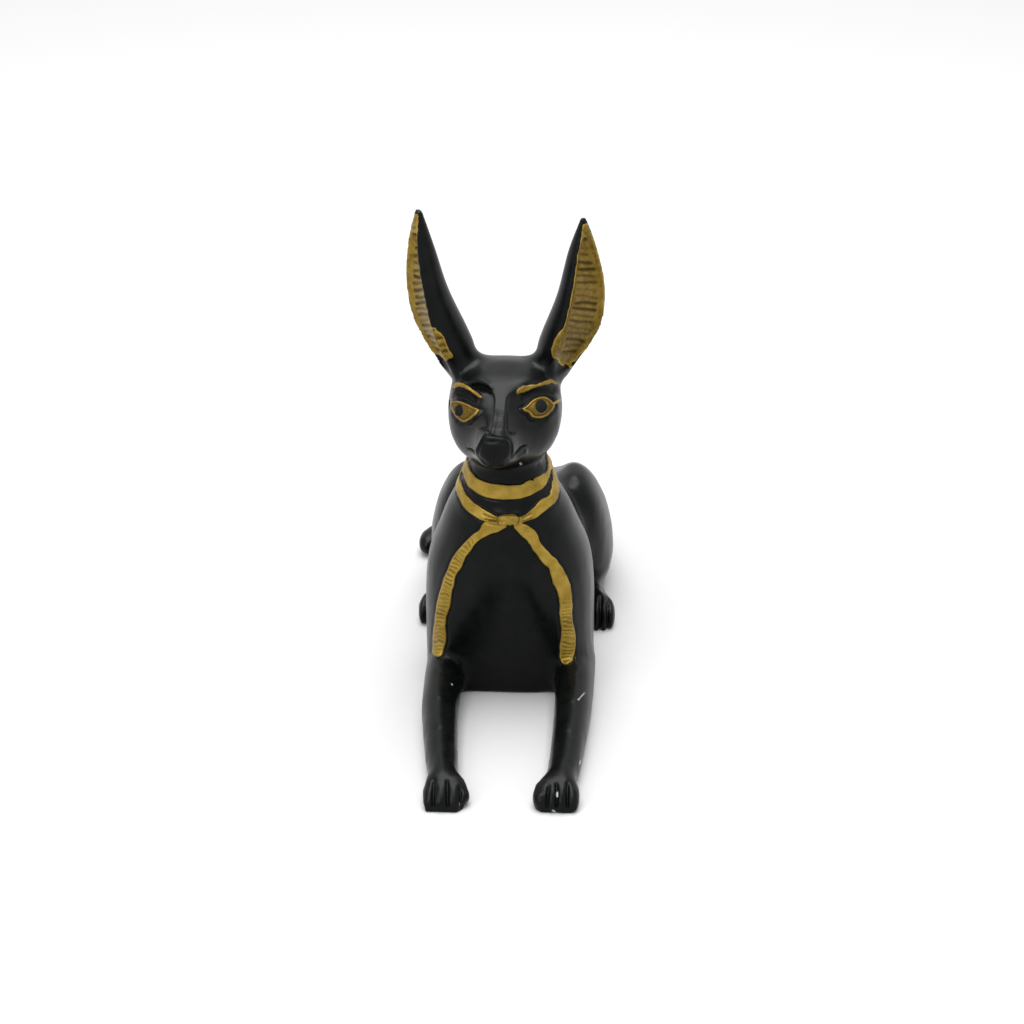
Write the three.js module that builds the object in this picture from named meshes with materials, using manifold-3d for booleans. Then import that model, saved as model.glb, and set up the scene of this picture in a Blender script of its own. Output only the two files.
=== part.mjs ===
// Recumbent jackal figure, cast in resin: a lying jackal with raised head and tall ears,
// wearing a collar and a knotted ribbon. Millimetres, +Z up, the animal faces -Y.
import * as THREE from 'three';
import { mergeVertices } from 'three/addons/utils/BufferGeometryUtils.js';
import Module from 'manifold-3d';

const wasm = await Module();
wasm.setup();

// Driving dimensions in millimetres
const figureHeight = 100; // ground to the ear tips
const collarHeight = 2.7; // flat band round the throat
const collarRelief = 0.5; // how far the band stands off the neck
const bandWidth = 1.7; // the ribbon where it goes round the neck
const ribbonWidth = 2.6; // its two hanging ends
const ribbonRelief = 0.55;
const ribPitch = 1.3; // weave ribs across the hanging ends
const ribRelief = 0.22;
const earRibPitch = 1.4; // cross ribs inside the ears
const earRibDepth = 0.35;
const earWall = 0.9;
const earHollow = 1.5; // depth of the hollow under the ear's rim
const toeGroove = 0.7; // width of the grooves between the toes
const eyeRelief = 0.35;
const browRelief = 0.4;
const browWidth = 1.1;

// The pose and the proportions below are in hundredths of the figure's height
const share = figureHeight / 100;

const resin = new THREE.MeshStandardMaterial({ color: '#17181a', roughness: 0.32, metalness: 0 });

// A number or an array of numbers between four stations, by Catmull-Rom
function blend(a, b, c, d, t) {
  if (Array.isArray(b)) {
    return b.map((value, i) => blend(a[i], value, c[i], d[i], t));
  }
  const slopeB = (c - a) / 2;
  const slopeC = (d - b) / 2;
  const t2 = t * t;
  const t3 = t2 * t;
  return (2 * t3 - 3 * t2 + 1) * b + (t3 - 2 * t2 + t) * slopeB
    + (3 * t2 - 2 * t3) * c + (t3 - t2) * slopeC;
}

// Every station has a centre `at`, a half width `side`, the reach `over` and `under` the centre,
// and how square the section is: 2 is an ellipse, more is boxier, less is more pointed
function fillIn(stations, steps, spacing) {
  const filled = [];
  const last = stations.length - 1;
  for (let i = 0; i < last; i += 1) {
    const [a, b, c, d] = [Math.max(i - 1, 0), i, i + 1, Math.min(i + 2, last)].map((k) => stations[k]);
    const gap = share * Math.hypot(...b.at.map((value, axis) => c.at[axis] - value));
    const count = spacing ? Math.max(Math.round(gap / spacing), 1) : b.steps ?? steps;
    for (let k = 0; k < count; k += 1) {
      const between = {};
      for (const key of ['at', 'up', 'side', 'over', 'under', 'square', 'squareUnder']) {
        between[key] = blend(a[key], b[key], c[key], d[key], k / count);
      }
      filled.push(between);
    }
  }
  filled.push(stations[last]);
  return filled;
}

function completed(station) {
  return {
    up: [0, 0, 1],
    square: 2,
    under: station.over,
    ...station,
    squareUnder: station.squareUnder ?? station.square ?? 2,
  };
}

function power(value, exponent) {
  return Math.sign(value) * Math.abs(value) ** exponent;
}

// A closed skin over the sections. Each section lies in the plane of the directions `side` and
// `over`, or square to the spine where the skin follows it; `grow` puts the skin further out.
function skin(rawStations, options) {
  const { side, over, follow, around = 24, steps = 2, grow = 0, spacing, change, mould } = options;
  const smooth = fillIn(rawStations.map(completed), steps, spacing);
  const stations = change ? smooth.map(change) : smooth;
  const points = [];
  const spine = stations.map((s) => new THREE.Vector3(...s.at).multiplyScalar(share));
  stations.forEach((station, i) => {
    let sideways = side && new THREE.Vector3(...side).normalize();
    let upwards = over && new THREE.Vector3(...over).normalize();
    if (follow) {
      const before = spine[Math.max(i - 1, 0)];
      const after = spine[Math.min(i + 1, spine.length - 1)];
      const along = after.clone().sub(before).normalize();
      sideways = new THREE.Vector3().crossVectors(along, new THREE.Vector3(...station.up)).normalize();
      upwards = new THREE.Vector3().crossVectors(sideways, along);
    }
    for (let k = 0; k < around; k += 1) {
      const angle = (2 * Math.PI * k) / around;
      const upper = Math.sin(angle) >= 0;
      const reach = (upper ? station.over : station.under) * share + grow;
      const exponent = 2 / (upper ? station.square : station.squareUnder);
      const x = (station.side * share + grow) * power(Math.cos(angle), exponent);
      const y = reach * power(Math.sin(angle), exponent);
      points.push(spine[i].clone().addScaledVector(sideways, x).addScaledVector(upwards, y));
    }
  });
  const faces = [];
  const ringCount = stations.length;
  for (let i = 0; i < ringCount - 1; i += 1) {
    for (let k = 0; k < around; k += 1) {
      const a = i * around + k;
      const b = i * around + ((k + 1) % around);
      faces.push(a, b, b + around, a, b + around, a + around);
    }
  }
  const capStart = points.length;
  points.push(spine[0], spine[ringCount - 1]);
  for (let k = 0; k < around; k += 1) {
    const next = (k + 1) % around;
    const lastRing = (ringCount - 1) * around;
    faces.push(capStart, next, k, capStart + 1, lastRing + k, lastRing + next);
  }
  if (mould) {
    points.forEach(mould);
  }
  const geometry = new THREE.BufferGeometry().setFromPoints(points);
  geometry.setIndex(faces);
  return solid(geometry);
}

// A closed three.js geometry as a solid that can be joined and cut
function solid(geometry) {
  const bare = geometry.index && !geometry.getAttribute('normal') ? geometry : geometry.clone();
  bare.deleteAttribute('normal');
  bare.deleteAttribute('uv');
  const merged = mergeVertices(bare, 1e-4);
  const mesh = {
    numProp: 3,
    vertProperties: new Float32Array(merged.getAttribute('position').array),
    triVerts: new Uint32Array(merged.index.array),
  };
  const made = new wasm.Manifold(new wasm.Mesh(mesh));
  if (made.volume() > 0) {
    return made;
  }
  for (let i = 0; i < mesh.triVerts.length; i += 3) {
    const kept = mesh.triVerts[i];
    mesh.triVerts[i] = mesh.triVerts[i + 1];
    mesh.triVerts[i + 1] = kept;
  }
  return new wasm.Manifold(new wasm.Mesh(mesh));
}

function joined(parts) {
  return parts.reduce((whole, part) => whole.add(part));
}

const upright = { side: [1, 0, 0], over: [0, 0, 1] }; // sections square to the body's length
const level = { side: [1, 0, 0], over: [0, -1, 0] }; // level sections, `over` is to the front

// Chest and neck: level sections from the ground to inside the head
function chestAndNeck(grow = 0) {
  const levels = [
    { z: -2, side: 17.2, front: 23, back: 6, square: 4.4 },
    { z: 4, side: 17.4, front: 25.1, back: 6, square: 3.8 },
    { z: 11, side: 17.5, front: 27.4, back: 6, square: 3.1 },
    { z: 20, side: 17.5, front: 29.6, back: 5, square: 2.7 },
    { z: 28.5, side: 16.7, front: 31, back: 3, square: 2.4 },
    { z: 35, side: 14.4, front: 30.8, back: 0, square: 2.2 },
    { z: 40, side: 12.6, front: 29.7, back: -2.5, square: 2.1 },
    { z: 44, side: 10.4, front: 28.4, back: -4.5, square: 2.1 },
    { z: 48, side: 8.2, front: 27, back: -5.5, square: 2.1 },
    { z: 53, side: 7, front: 25.6, back: -5.5, square: 2.1 },
    { z: 58, side: 6.9, front: 24, back: -6, square: 2 },
  ];
  const lean = (z) => -0.6 - 0.00003 * Math.max(z - 25, 0) ** 3;
  const stations = levels.map(({ z, side, front, back, square }) => ({
    at: [lean(z), (back - front) / 2, z],
    side,
    over: (front + back) / 2,
    square,
    steps: z < 15 ? 1 : 2,
  }));
  return skin(stations, { ...level, around: 24, grow, mould: mouldArms });
}

// The upper arms swell a little from the chest, with a shallow furrow on their inner side
function mouldArms(point) {
  if (point.y > 0) {
    return;
  }
  const upward = (point.z / share - 9) / 13;
  for (const hand of [-1, 1]) {
    const arm = (point.x / share - 13.2 * hand) / 3.4;
    const furrow = (point.x / share - 7.6 * hand) / 2.2;
    const rise = 0.7 * Math.exp(-(arm ** 2)) - 0.5 * Math.exp(-(furrow ** 2));
    point.y -= share * Math.exp(-(upward ** 2)) * rise;
  }
}

function torso() {
  const sections = [
    { y: -16, top: 36, side: 12 },
    { y: -8, top: 41, side: 14.2 },
    { y: 1, top: 39.2, side: 14.6 },
    { y: 10, top: 35.4, side: 14.4 },
    { y: 20, top: 31.6, side: 14 },
    { y: 30, top: 28, side: 14.2 },
    { y: 40, top: 23.6, side: 14.4 },
    { y: 50, top: 18.4, side: 13 },
    { y: 58, top: 13.4, side: 10.2 },
    { y: 64, top: 8.6, side: 6.4 },
    { y: 66.5, top: 5, side: 2.5 },
  ];
  const stations = sections.map(({ y, top, side }) => ({
    at: [0, y, top * 0.42],
    side,
    over: top * 0.58,
    under: top * 0.42 + 4,
    square: 2.4,
    squareUnder: 2.8,
  }));
  return skin(stations, { ...upright, around: 16, steps: 1 });
}

// The two sides of the cast differ a little: `hand` is -1 for the animal's right, 1 for its left
const forelegs = [
  { hand: -1, elbowX: 13.6, wristX: 11.6, pawX: 10.1, pawHalf: 4.5, front: -71.6 },
  { hand: 1, elbowX: 13.4, wristX: 12.4, pawX: 11.1, pawHalf: 4.6, front: -71 },
];
const hindFeet = [
  { hand: -1, pawX: 18.5 },
  { hand: 1, pawX: 17.9 },
];
const hindPaw = { pawHalf: 3.6, front: 4.8 };

function foreleg({ hand, elbowX, wristX, pawX, pawHalf, front }) {
  const stations = [
    { at: [elbowX * hand, -8, 3.6], side: 3.4, over: 5, under: 6, steps: 1 },
    { at: [elbowX * hand, -17, 4.2], side: 4.1, over: 5.8, under: 7, steps: 1 },
    { at: [elbowX * hand, -27, 4.2], side: 4, over: 5.4, under: 7, steps: 1 },
    { at: [(elbowX - 0.1) * hand, -38, 3.8], side: 3.8, over: 4.6, under: 6.5, steps: 1 },
    { at: [(elbowX + wristX) / 2 * hand, -48, 3.5], side: 3.5, over: 3.9, under: 6, steps: 1 },
    { at: [wristX * hand, -57.5, 3], side: 3.2, over: 3.3, under: 5.5 },
    { at: [(wristX + pawX) / 2 * hand, -62.8, 2.8], side: 3.1, over: 3.2, under: 5 },
    { at: [pawX * hand, -66.6, 2.4], side: pawHalf, over: 2.9, under: 5, square: 2.3 },
    { at: [pawX * hand, -69.4, 1.6], side: pawHalf * 0.96, over: 2.2, under: 4, square: 2.4 },
    { at: [(pawX + 0.5) * hand, front, 0.6], side: pawHalf * 0.76, over: 1, under: 2, square: 2.3 },
  ];
  return skin(stations, { ...upright, around: 14, steps: 2 });
}

function haunch(hand) {
  const stations = [
    { at: [12.6 * hand, 10, 25], side: 1.6, over: 3, steps: 1 },
    { at: [12.8 * hand, 12, 24.2], side: 4, over: 7 },
    { at: [13.2 * hand, 16, 21.4], side: 5.4, over: 11.2 },
    { at: [13.5 * hand, 22, 17.6], side: 6.2, over: 15.3, steps: 1 },
    { at: [13.3 * hand, 28, 14.8], side: 6.7, over: 15.6, steps: 1 },
    { at: [12.6 * hand, 36, 12], side: 6.9, over: 14.6, steps: 1 },
    { at: [11.4 * hand, 44, 9.5], side: 6.9, over: 12.8, steps: 1 },
    { at: [9.6 * hand, 52, 8], side: 6.2, over: 10, steps: 1 },
    { at: [7.6 * hand, 58.5, 6.5], side: 4.8, over: 7 },
    { at: [6.4 * hand, 62, 5.5], side: 1.8, over: 3 },
  ];
  return skin(stations, { side: [1, 0, 0], over: [-0.14 * hand, 0, 1], around: 14, steps: 1 });
}

function hindFoot({ hand, pawX }) {
  const stations = [
    { at: [pawX * hand, hindPaw.front, 1.8], side: 1.9, over: 1.6, under: 3 },
    { at: [pawX * hand, 6.6, 2.4], side: 3.2, over: 2.9, under: 4 },
    { at: [(pawX - 0.3) * hand, 10, 3], side: hindPaw.pawHalf, over: 3.4, under: 5 },
    { at: [(pawX - 1.7) * hand, 15, 3], side: 3.1, over: 3, under: 5 },
    { at: [14.8 * hand, 22, 3], side: 2.9, over: 2.6, under: 5, steps: 1 },
    { at: [14.6 * hand, 34, 3.2], side: 3, over: 3, under: 5, steps: 1 },
    { at: [14 * hand, 44, 3.4], side: 3.2, over: 3.6, under: 5 },
    { at: [13 * hand, 50, 2.6], side: 1.6, over: 1.6, under: 3 },
  ];
  return skin(stations, { ...upright, around: 12, steps: 1 });
}

const tailSpacing = 5; // between the tail's sections

function tail() {
  const stations = [
    { at: [0, 60, 7], side: 2.5, over: 2.5 },
    { at: [0, 65.5, 4.6], side: 2.6, over: 2.6 },
    { at: [-4.4, 68.2, 2.6], side: 2.6, over: 2.6 },
    { at: [-12, 64.6, 2.5], side: 2.6, over: 2.6 },
    { at: [-16.6, 56.5, 2.5], side: 2.6, over: 2.6 },
    { at: [-19.6, 48.5, 2.5], side: 2.6, over: 2.6 },
    { at: [-22, 43.4, 2.6], side: 2.7, over: 2.7 },
    { at: [-22.2, 40.6, 2.5], side: 2.5, over: 2.5 },
    { at: [-21.6, 38.8, 2.3], side: 1.4, over: 1.4 },
  ];
  return skin(stations, { follow: true, around: 8, spacing: tailSpacing });
}

// Skull and muzzle; the muzzle turns a little to the animal's right
const headX = -1.4;
const muzzleTurn = 0.045;

function head() {
  const sections = [
    { y: -3.4, top: 65, bottom: 57, side: 3.4, mid: 61 },
    { y: -5.4, top: 68, bottom: 53, side: 7.8, mid: 60.5 },
    { y: -9.5, top: 69.8, bottom: 50, side: 10.6, mid: 60.5, square: 2.4 },
    { y: -15, top: 70.7, bottom: 48.8, side: 11.5, mid: 60.5, square: 2.6 },
    { y: -20, top: 70.2, bottom: 49.5, side: 11.2, mid: 60.2, square: 2.5 },
    { y: -24, top: 69.2, bottom: 51.2, side: 9.8, mid: 59.6, square: 2.2 },
    { y: -27.5, top: 68, bottom: 53, side: 7.6, mid: 59, square: 1.8 },
    { y: -31, top: 66.8, bottom: 54.8, side: 5.6, mid: 58.9, square: 1.8 },
    { y: -34.5, top: 65.9, bottom: 56.2, side: 4.2, mid: 59.5, square: 2 },
    { y: -37.6, top: 65, bottom: 57.2, side: 3.6, mid: 60.9, square: 2.4 },
    { y: -38.9, top: 64.4, bottom: 58.2, side: 3, mid: 61.2, square: 2.3 },
    { y: -39.4, top: 63.7, bottom: 59, side: 2.4, mid: 61.3, square: 2.3 },
  ];
  const stations = sections.map(({ y, top, bottom, side, mid, square = 2.1 }) => ({
    at: [headX + muzzleTurn * Math.min(y + 20, 0), y, mid],
    side,
    over: top - mid,
    under: mid - bottom,
    square,
    squareUnder: 2.1,
    steps: y > -20 || y < -34 ? 1 : 2,
  }));
  return skin(stations, { ...upright, around: 28, mould: mouldFace });
}

// Swellings and hollows of the face, each a soft bump at both sides of the muzzle
const faceForms = [
  { aside: 7, y: -25.2, z: 66.6, wide: 3.6, tall: 1.5, rise: -1.1 }, // hollow between brow and eye
  { aside: 6.4, y: -24, z: 69, wide: 4.2, tall: 1, rise: 0.5 }, // brow
  { aside: 3.6, y: -29, z: 65.4, wide: 1.5, tall: 2.2, rise: -0.8 }, // beside the ridge of the muzzle
  { aside: 7.6, y: -25, z: 63.8, wide: 2.6, tall: 1.6, rise: 0.5 }, // eyeball
  { aside: 7, y: -25.5, z: 56, wide: 3, tall: 3, rise: 0.4 }, // cheek
];

function mouldFace(point) {
  const centre = new THREE.Vector3(headX, -16, 61).multiplyScalar(share);
  const outward = point.clone().sub(centre).normalize();
  for (const form of faceForms) {
    for (const hand of [-1, 1]) {
      const across = (point.x / share - headX - form.aside * hand) / form.wide;
      const along = (point.y / share - form.y) / 4;
      const upward = (point.z / share - form.z) / form.tall;
      const strength = Math.exp(-(across ** 2) - along ** 2 - upward ** 2);
      point.addScaledVector(outward, form.rise * share * strength);
    }
  }
}

// An ear is a thick horn with a shallow ribbed hollow that faces outward by the angle `facing`
function ear(hand, { stations, facing }) {
  const axes = {
    side: [Math.cos(facing) * hand, Math.sin(facing), 0],
    over: [Math.sin(facing) * hand, -Math.cos(facing), 0],
  };
  const horn = skin(stations, { ...axes, around: 14, steps: 2 });
  const open = stations.slice(1).map((station, i, rest) => ({
    ...station,
    side: Math.max(station.side - earWall / share, 0.1),
    over: 4,
    under: i === rest.length - 1 ? 0 : earHollow / share - station.over,
    square: 2,
  }));
  const spacing = earRibPitch / 2;
  const ribs = (station, i) => ({ ...station, under: station.under + (i % 2) * earRibDepth / share });
  return horn.subtract(skin(open, { ...axes, around: 6, spacing, change: ribs }));
}

const ears = [
  ear(1, {
    facing: 0.92,
    stations: [
      { at: [6.4, -13, 62], side: 2.6, over: 1, under: 3 },
      { at: [9.6, -13.2, 68.4], side: 4.4, over: 1.2, under: 7 },
      { at: [12.9, -12.6, 75], side: 6.7, over: 1, under: 7.8 },
      { at: [14.4, -12, 83.5], side: 5.8, over: 0.9, under: 5.8 },
      { at: [14.3, -12, 92.5], side: 3.2, over: 0.7, under: 3.7 },
      { at: [13.7, -12, 99.5], side: 0.5, over: 0.3, under: 0.5 },
    ],
  }),
  ear(-1, {
    facing: 1.15,
    stations: [
      { at: [-8.2, -13, 62], side: 2.6, over: 1, under: 3 },
      { at: [-13.1, -13.2, 68.4], side: 5.2, over: 1.2, under: 7.4 },
      { at: [-17.2, -12.6, 75.4], side: 6.8, over: 1, under: 8.4 },
      { at: [-19, -12, 84], side: 5.8, over: 0.9, under: 6.2 },
      { at: [-19.4, -12, 92.6], side: 3.2, over: 0.7, under: 4 },
      { at: [-18.8, -12, 100.4], side: 0.5, over: 0.3, under: 0.5 },
    ],
  }),
];

// A band round the neck: a slice of the chest and neck, grown by the relief, between two tilted
// planes; `slope` is how much the band rises towards the nape
function neckBand({ frontY, frontZ, slope, height, relief }) {
  const slab = new THREE.BoxGeometry(figureHeight, figureHeight, height);
  slab.rotateX(Math.atan(slope));
  const middleZ = frontZ - slope * frontY;
  slab.translate(0, 0, middleZ * share);
  return chestAndNeck(relief).intersect(solid(slab));
}

// The place on a surface straight behind a point seen from the front, and the surface's direction
// there, evened out over the facets around it
function dropOn(mesh, x, z) {
  const hit = (dx, dz) => {
    const from = new THREE.Vector3(x + dx, -figureHeight / share, z + dz).multiplyScalar(share);
    return new THREE.Raycaster(from, new THREE.Vector3(0, 1, 0)).intersectObject(mesh)[0];
  };
  const near = [[0, 0], [1.2, 0], [-1.2, 0], [0, 1.2], [0, -1.2]].map(([dx, dz]) => hit(dx, dz));
  const up = new THREE.Vector3();
  near.forEach((one) => one && up.add(one.face.normal));
  return { at: near[0].point.divideScalar(share).toArray(), up: up.normalize().toArray() };
}

// A low ridge of flat section on a surface, from points given in X and Z
function ridgeOn(mesh, points, { width, relief, ribsFrom = 1, taper = 0 }) {
  const half = width / 2 / share;
  const curve = new THREE.SplineCurve(points.map(([x, z]) => new THREE.Vector2(x, z)));
  const length = curve.getLength();
  const plain = Math.max(Math.ceil((length * ribsFrom) / 2.4), 2);
  const ribbed = 2 * Math.round((length * share * (1 - ribsFrom)) / ribPitch);
  const count = plain + ribbed;
  const stations = Array.from({ length: count + 1 }, (_, i) => {
    const t = i < plain ? ribsFrom * i / plain : ribsFrom + (1 - ribsFrom) * (i - plain) / (ribbed || 1);
    const { x, y } = curve.getPointAt(t);
    const end = i === 0 || i === count;
    const rib = i > plain && !end ? ((i - plain) % 2) * ribRelief / share : 0;
    return {
      ...dropOn(mesh, x, y),
      side: end ? half * 0.6 : half * (1 - taper * t),
      over: (end ? 0.4 : 1) * relief / share + rib,
      under: 0.8,
      square: 3.4,
      squareUnder: 2,
    };
  });
  return skin(stations, { follow: true, around: 6, steps: 1 });
}

function knot() {
  const stations = [
    { at: [-2.7, -28.9, 42], side: 0.7, over: 0.8 },
    { at: [-2.3, -29.1, 42], side: 1.2, over: 1.2 },
    { at: [0, -29.3, 42], side: 1.3, over: 1.1 },
    { at: [2.3, -29.1, 42], side: 1.2, over: 1.2 },
    { at: [2.7, -28.9, 42], side: 0.7, over: 0.8 },
  ];
  return skin(stations, { side: [0, -1, 0], over: [0, 0, 1], around: 8, steps: 1 });
}

const chest = meshOf('chest', chestAndNeck(), resin);
const ribbonForm = { width: ribbonWidth, relief: ribbonRelief };
const ribbons = [
  neckBand({ frontY: -27.3, frontZ: 47.4, slope: 0.1, height: collarHeight, relief: collarRelief }),
  neckBand({ frontY: -29, frontZ: 42.3, slope: 0.3, height: bandWidth, relief: ribbonRelief }),
  ridgeOn(chest, [[-1.2, 41.2], [-4.6, 39.4], [-8.2, 35.4], [-11.2, 30.4], [-12.9, 23.6], [-14, 17.6],
    [-14.6, 9.4]], { ...ribbonForm, ribsFrom: 0.2 }),
  ridgeOn(chest, [[1.2, 41.4], [3.6, 39.2], [7.6, 33.9], [10.3, 28.8], [11.5, 23.4], [11.6, 18],
    [11.9, 8.8]], { ...ribbonForm, ribsFrom: 0.55 }),
  knot(),
];

// Eyes and brows: a flat almond and a tapering stroke at each side of the face
const face = meshOf('face', head(), resin);

function eye(hand) {
  const middle = headX + 7.2 * hand;
  const lift = hand > 0 ? 0.6 : 0;
  const halves = [0.3, 1.2, 1.8, 1.9, 1.5, 0.6];
  const stations = halves.map((side, i) => {
    const t = i / (halves.length - 1);
    const { at, up } = dropOn(face, middle + (6 * t - 3) * hand, 64.7 - 1.1 * t + lift);
    return { at, up, side, over: eyeRelief / share, under: 0.6 };
  });
  return skin(stations, { follow: true, around: 6, steps: 1 });
}

function brow(hand) {
  const points = [[3.7, 67.4], [6.5, 67.8], [9, 67.1], [10.1, 65.6]]
    .map(([aside, z]) => [headX + aside * hand, z]);
  return ridgeOn(face, points, { width: browWidth, relief: browRelief, taper: 0.4 });
}

// Three grooves between the toes of a paw, from its front edge up and back over its top
function toeGrooves({ hand, pawX, pawHalf, front }, top) {
  const half = toeGroove / 2 / share;
  const cutters = [-1, 0, 1].map((step) => {
    const x = (pawX + step * pawHalf * 0.46) * hand;
    const reach = Math.abs(step) * 0.5;
    const stations = [
      { at: [x, front + reach - 0.6, 0.9], side: half, over: 0.8 },
      { at: [x, front + reach + 0.6, top * 0.55], side: half, over: 0.8 },
      { at: [x, front + reach + 2.6, top], side: half, over: 0.8 },
      { at: [x, front + 6.2, top + 1], side: half / 2, over: 0.4 },
    ];
    return skin(stations, { follow: true, around: 4, steps: 1 });
  });
  return joined(cutters);
}

const body = joined([
  chestAndNeck(),
  torso(),
  ...forelegs.map(foreleg),
  ...[-1, 1].map((hand) => haunch(hand)),
  ...hindFeet.map(hindFoot),
  tail(),
  head(),
  ...ears,
  ...ribbons,
  ...[-1, 1].map((hand) => eye(hand)),
  ...[-1, 1].map((hand) => brow(hand)),
]);

// Everything under the ground is cut away, so the figure lies flat
const groundBox = new THREE.BoxGeometry(4 * figureHeight, 4 * figureHeight, figureHeight);
groundBox.translate(0, 0, -figureHeight / 2);
const figure = body.subtract(joined([
  solid(groundBox),
  ...forelegs.map((leg) => toeGrooves(leg, 5)),
  ...hindFeet.map((foot) => toeGrooves({ ...hindPaw, ...foot }, 5.6)),
]));

function meshOf(name, made, material) {
  const { vertProperties, triVerts } = made.getMesh();
  const geometry = new THREE.BufferGeometry();
  geometry.setAttribute('position', new THREE.BufferAttribute(new Float32Array(vertProperties), 3));
  geometry.setIndex(new THREE.BufferAttribute(new Uint32Array(triVerts), 1));
  geometry.computeVertexNormals();
  const mesh = new THREE.Mesh(geometry, material);
  mesh.name = name;
  return mesh;
}

const jackal = new THREE.Group();
jackal.add(meshOf('jackal_figure', figure, resin));

// The origin is on the ground under the middle of the figure's box
const middle = new THREE.Box3().setFromObject(jackal).getCenter(new THREE.Vector3());
jackal.position.set(-middle.x, -middle.y, 0);

export default jackal;
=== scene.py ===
import math

import bmesh
import bpy
import numpy as np
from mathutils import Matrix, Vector


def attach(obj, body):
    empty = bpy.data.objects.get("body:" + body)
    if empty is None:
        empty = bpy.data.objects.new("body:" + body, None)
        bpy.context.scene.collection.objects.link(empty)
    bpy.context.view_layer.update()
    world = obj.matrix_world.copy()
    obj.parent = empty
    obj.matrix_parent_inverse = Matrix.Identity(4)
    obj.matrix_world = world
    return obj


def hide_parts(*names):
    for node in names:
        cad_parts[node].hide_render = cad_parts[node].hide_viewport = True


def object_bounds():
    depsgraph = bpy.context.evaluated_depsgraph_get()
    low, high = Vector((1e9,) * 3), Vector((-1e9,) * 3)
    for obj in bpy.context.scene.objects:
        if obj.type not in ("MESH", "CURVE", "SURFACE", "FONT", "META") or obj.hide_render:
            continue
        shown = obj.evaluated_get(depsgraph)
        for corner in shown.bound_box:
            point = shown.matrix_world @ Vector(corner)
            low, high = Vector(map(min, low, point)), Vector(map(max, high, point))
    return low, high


mm = 0.001

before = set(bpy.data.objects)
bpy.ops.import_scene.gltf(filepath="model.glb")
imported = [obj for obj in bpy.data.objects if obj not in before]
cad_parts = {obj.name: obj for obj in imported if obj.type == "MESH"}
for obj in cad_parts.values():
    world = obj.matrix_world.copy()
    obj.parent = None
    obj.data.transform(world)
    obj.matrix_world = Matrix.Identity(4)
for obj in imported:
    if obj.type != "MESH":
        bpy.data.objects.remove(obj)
cadBox = [np.array(corner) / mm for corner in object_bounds()]
print("frame loaded")


# The camera stands where the photograph was taken from. Millimetres and degrees.
photo = {
    "size": 1024,
    "focal": 2665.0,  # in pixels of the photograph's frame
    "azimuth": 3.0,
    "elevation": 25.0,
    "distance": 560.0,
    "target": (0.845, 0.425, 30.3),
}
pxPerMm = 4.95  # in the photograph, at the figure
turn, tilt = math.radians(photo["azimuth"]), math.radians(photo["elevation"])
camBack = np.array([math.sin(turn) * math.cos(tilt), -math.cos(turn) * math.cos(tilt), math.sin(tilt)])
camRight = np.array([math.cos(turn), math.sin(turn), 0.0])
camUp = np.cross(camBack, camRight)
camPlace = np.array(photo["target"]) + photo["distance"] * camBack


# Where places of the figure, in mm, fall in the photograph, in its pixels
def inPhoto(places):
    away = places - camPlace
    depth = -(away @ camBack)
    across = photo["size"] / 2 + photo["focal"] * (away @ camRight) / depth
    down = photo["size"] / 2 - photo["focal"] * (away @ camUp) / depth
    return np.stack([across, down], 1)


def ease(low, high, value):
    t = np.clip((value - low) / (high - low), 0, 1)
    return t * t * (3 - 2 * t)


def bell(distance, width):
    return np.exp(-((distance / width) ** 2))


# A bead along an edge. Its form is its height, how far inside the edge it runs, and its width, in mm.
def bead(inside, form):
    height, at, width = form
    return height * bell(inside - at, width)


# A smooth line through the points, by Catmull-Rom, in steps per stretch
def smoothLine(points, steps=6):
    points = np.asarray(points, float)
    line = []
    for i in range(len(points) - 1):
        a, b, c, d = (points[min(max(k, 0), len(points) - 1)] for k in (i - 1, i, i + 1, i + 2))
        for t in np.arange(steps) / steps:
            line.append(0.5 * (2 * b + (c - a) * t + (2 * a - 5 * b + 4 * c - d) * t**2
                               + (3 * b - a - 3 * c + d) * t**3))
    return np.array(line + [points[-1]])


# For each spot: its distance from a line, how far along the line that is, and on which side (1 or -1)
def alongLine(spots, line):
    nearest = np.full(len(spots), 1e9)
    along = np.zeros(len(spots))
    side = np.ones(len(spots))
    start = 0.0
    for a, b in zip(line[:-1], line[1:]):
        run = b - a
        length = max(math.hypot(*run), 1e-9)
        share = np.clip((spots - a) @ run / length**2, 0, 1)
        gap = spots - a - share[:, None] * run
        distance = np.hypot(gap[:, 0], gap[:, 1])
        closer = distance < nearest
        nearest[closer] = distance[closer]
        along[closer] = (start + share * length)[closer]
        side[closer] = np.where(run[0] * gap[:, 1] - run[1] * gap[:, 0] >= 0, 1, -1)[closer]
        start += length
    return nearest, along, side


def lengthOf(line):
    return np.hypot(*np.diff(line, axis=0).T).sum()


# Distance from a closed outline in mm, above 0 inside it
def insideOutline(spots, outline):
    closed = np.vstack([outline, outline[:1]])
    distance = alongLine(spots, closed)[0] / pxPerMm
    inside = np.zeros(len(spots), bool)
    for (ax, ay), (bx, by) in zip(closed[:-1], closed[1:]):
        crosses = (ay > spots[:, 1]) != (by > spots[:, 1])
        at = ax + (spots[:, 1] - ay) * (bx - ax) / (by - ay if by != ay else 1e-9)
        inside ^= crosses & (spots[:, 0] < at)
    return np.where(inside, distance, -distance)


# A closed outline with its corners rounded, in steps per side
def rounded(outline, steps=3):
    return smoothLine(outline + outline[:1], steps)[:-1]


# 1 along a line and 0 at its ends, rising over the reach in mm
def tapered(line, along, reach):
    far = reach * pxPerMm
    return ease(0, far, along) * ease(0, far, lengthOf(line) - along)


# The height of a ridge along a line: a bell across it. A groove has a height below 0.
def ridge(spots, points, height, width, reach=0.8):
    line = smoothLine(points)
    distance, along, _ = alongLine(spots, line)
    return height * bell(distance / pxPerMm, width) * tapered(line, along, reach)


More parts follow.
